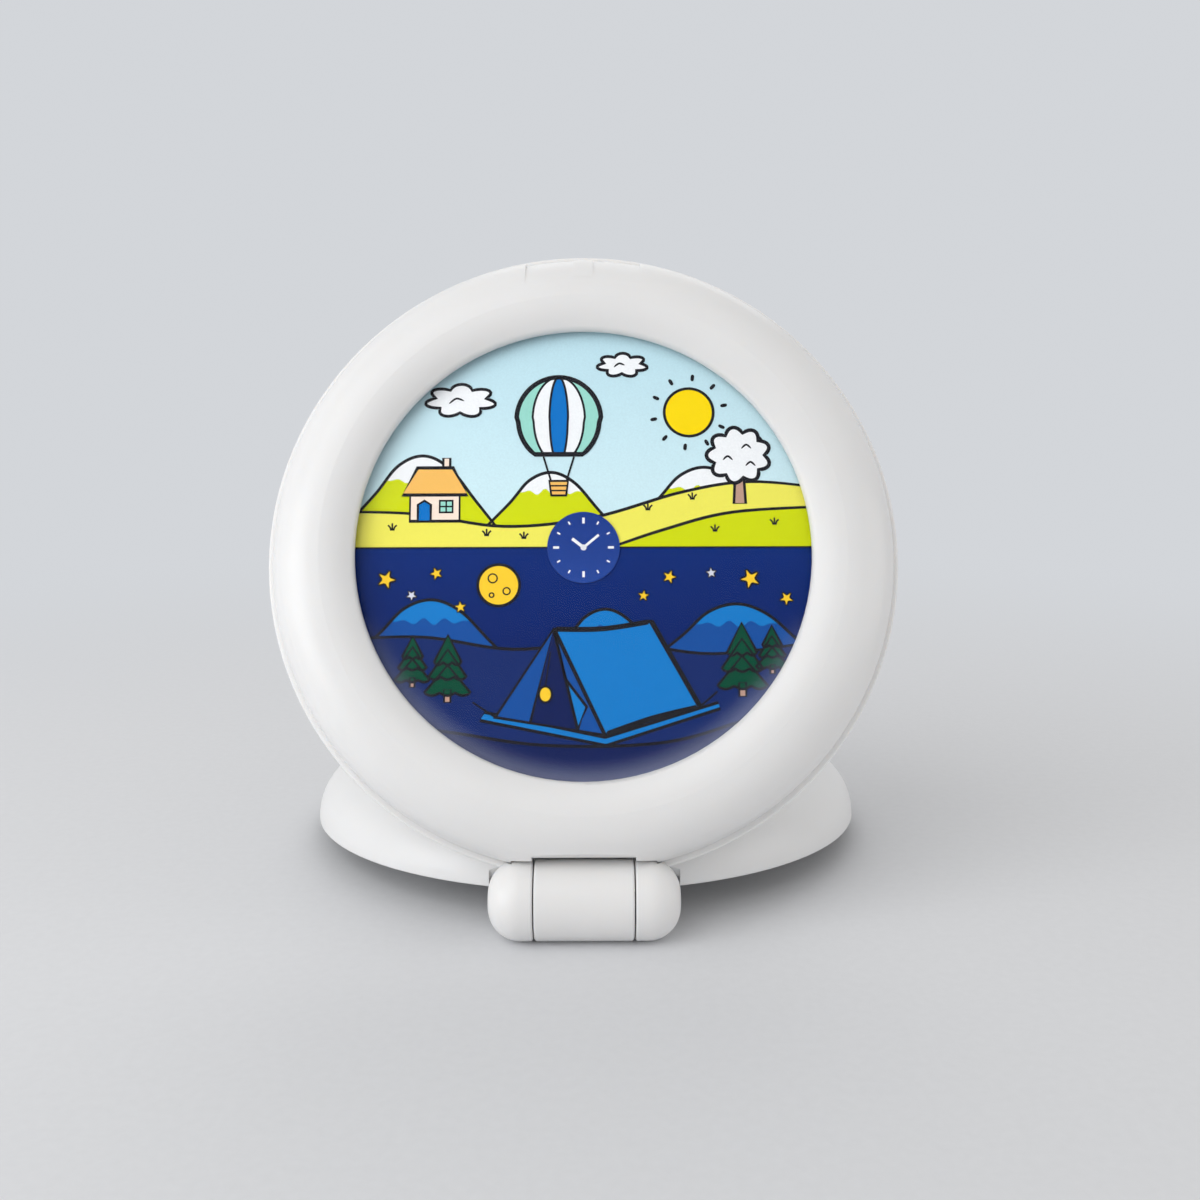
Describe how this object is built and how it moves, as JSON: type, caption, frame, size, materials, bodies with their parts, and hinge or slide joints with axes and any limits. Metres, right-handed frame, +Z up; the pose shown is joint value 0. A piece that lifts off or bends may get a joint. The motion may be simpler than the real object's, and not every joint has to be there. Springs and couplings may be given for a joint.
{
  "type": "folding alarm clock",
  "caption": "Round folding alarm clock with a lit picture window in its face; the domed cover swings round behind the leaning head to stand it up, and the controls sit on the back.",
  "frame": {"origin": "middle of the narrow flat moulded under the hinge barrel, on the table", "axes": "+X along the hinge, to the right as seen from the front; +Y from the face to the back, towards the cover; +Z up"},
  "size_m": [0.1292, 0.1411, 0.1334],
  "materials": {
    "shell_white": "gloss",
    "clear_plastic": "clear gloss",
    "day_print": "printed film, satin",
    "night_print": "printed film, satin",
    "badge_blue": "gloss",
    "diffuser_white": "frosted",
    "light_box_white": "matte",
    "board_green": "satin",
    "led_warm": "clear gloss",
    "led_cool": "clear gloss",
    "screw_steel": "satin",
    "connector_black": "satin",
    "display_grey": "gloss",
    "strip_rubber": "matte",
    "smoke_clear": "clear gloss",
    "button_grey": "satin",
    "speaker_black": "satin",
    "spring_steel": "plated",
    "cell_jacket": "gloss sleeve"
  },
  "bodies": {
    "clock": {"battery_1": "cell_jacket", "battery_2": "cell_jacket", "battery_3": "cell_jacket", "battery_contacts": "spring_steel", "battery_door": "shell_white", "battery_springs": "spring_steel", "board_link": "connector_black", "board_screws": "screw_steel", "button_switches": "connector_black", "centre_badge": "badge_blue", "control_board": "board_green", "day_leds": "led_warm", "day_picture": "day_print", "door_screw": "screw_steel", "front_bezel": "shell_white", "hinge_pin": "screw_steel", "housing_screws": "screw_steel", "lcd_connectors": "strip_rubber", "lcd_display": "display_grey", "lcd_window": "smoke_clear", "led_board": "board_green", "light_box": "light_box_white", "night_leds": "led_cool", "night_picture": "night_print", "picture_diffuser": "diffuser_white", "rear_housing": "shell_white", "slide_switch": "connector_black", "speaker": "speaker_black", "window_lens": "clear_plastic"},
    "cover": {"cover_lid": "shell_white"},
    "hour_button": {"hour_button": "button_grey"},
    "minute_button": {"minute_button": "button_grey"},
    "wake_button": {"wake_button": "button_grey"},
    "light_button": {"light_button": "button_grey"},
    "alarm_slider": {"slide_knob": "button_grey"}
  },
  "joints": [
    {"name": "cover_fold", "type": "hinge", "parent": "clock", "child": "cover", "pos_m": [0, 0, 0.00785], "axis": [-1, 0, 0], "range_deg": [0, 285.9]},
    {"name": "hour_button_press", "type": "slide", "parent": "clock", "child": "hour_button", "axis": [0, -0.9426, 0.3338], "range_m": [0, 0.0004], "stiffness_N_per_m": 300, "springref_m": -0.003},
    {"name": "minute_button_press", "type": "slide", "parent": "clock", "child": "minute_button", "axis": [0, -0.9426, 0.3338], "range_m": [0, 0.0004], "stiffness_N_per_m": 300, "springref_m": -0.003},
    {"name": "wake_button_press", "type": "slide", "parent": "clock", "child": "wake_button", "axis": [0, -0.9426, 0.3338], "range_m": [0, 0.0004], "stiffness_N_per_m": 300, "springref_m": -0.003},
    {"name": "light_button_press", "type": "slide", "parent": "clock", "child": "light_button", "axis": [0, -0.9426, 0.3338], "range_m": [0, 0.0004], "stiffness_N_per_m": 300, "springref_m": -0.003},
    {"name": "alarm_slide", "type": "slide", "parent": "clock", "child": "alarm_slider", "axis": [0, 0.3338, 0.9426], "range_m": [0, 0.002]}
  ]
}
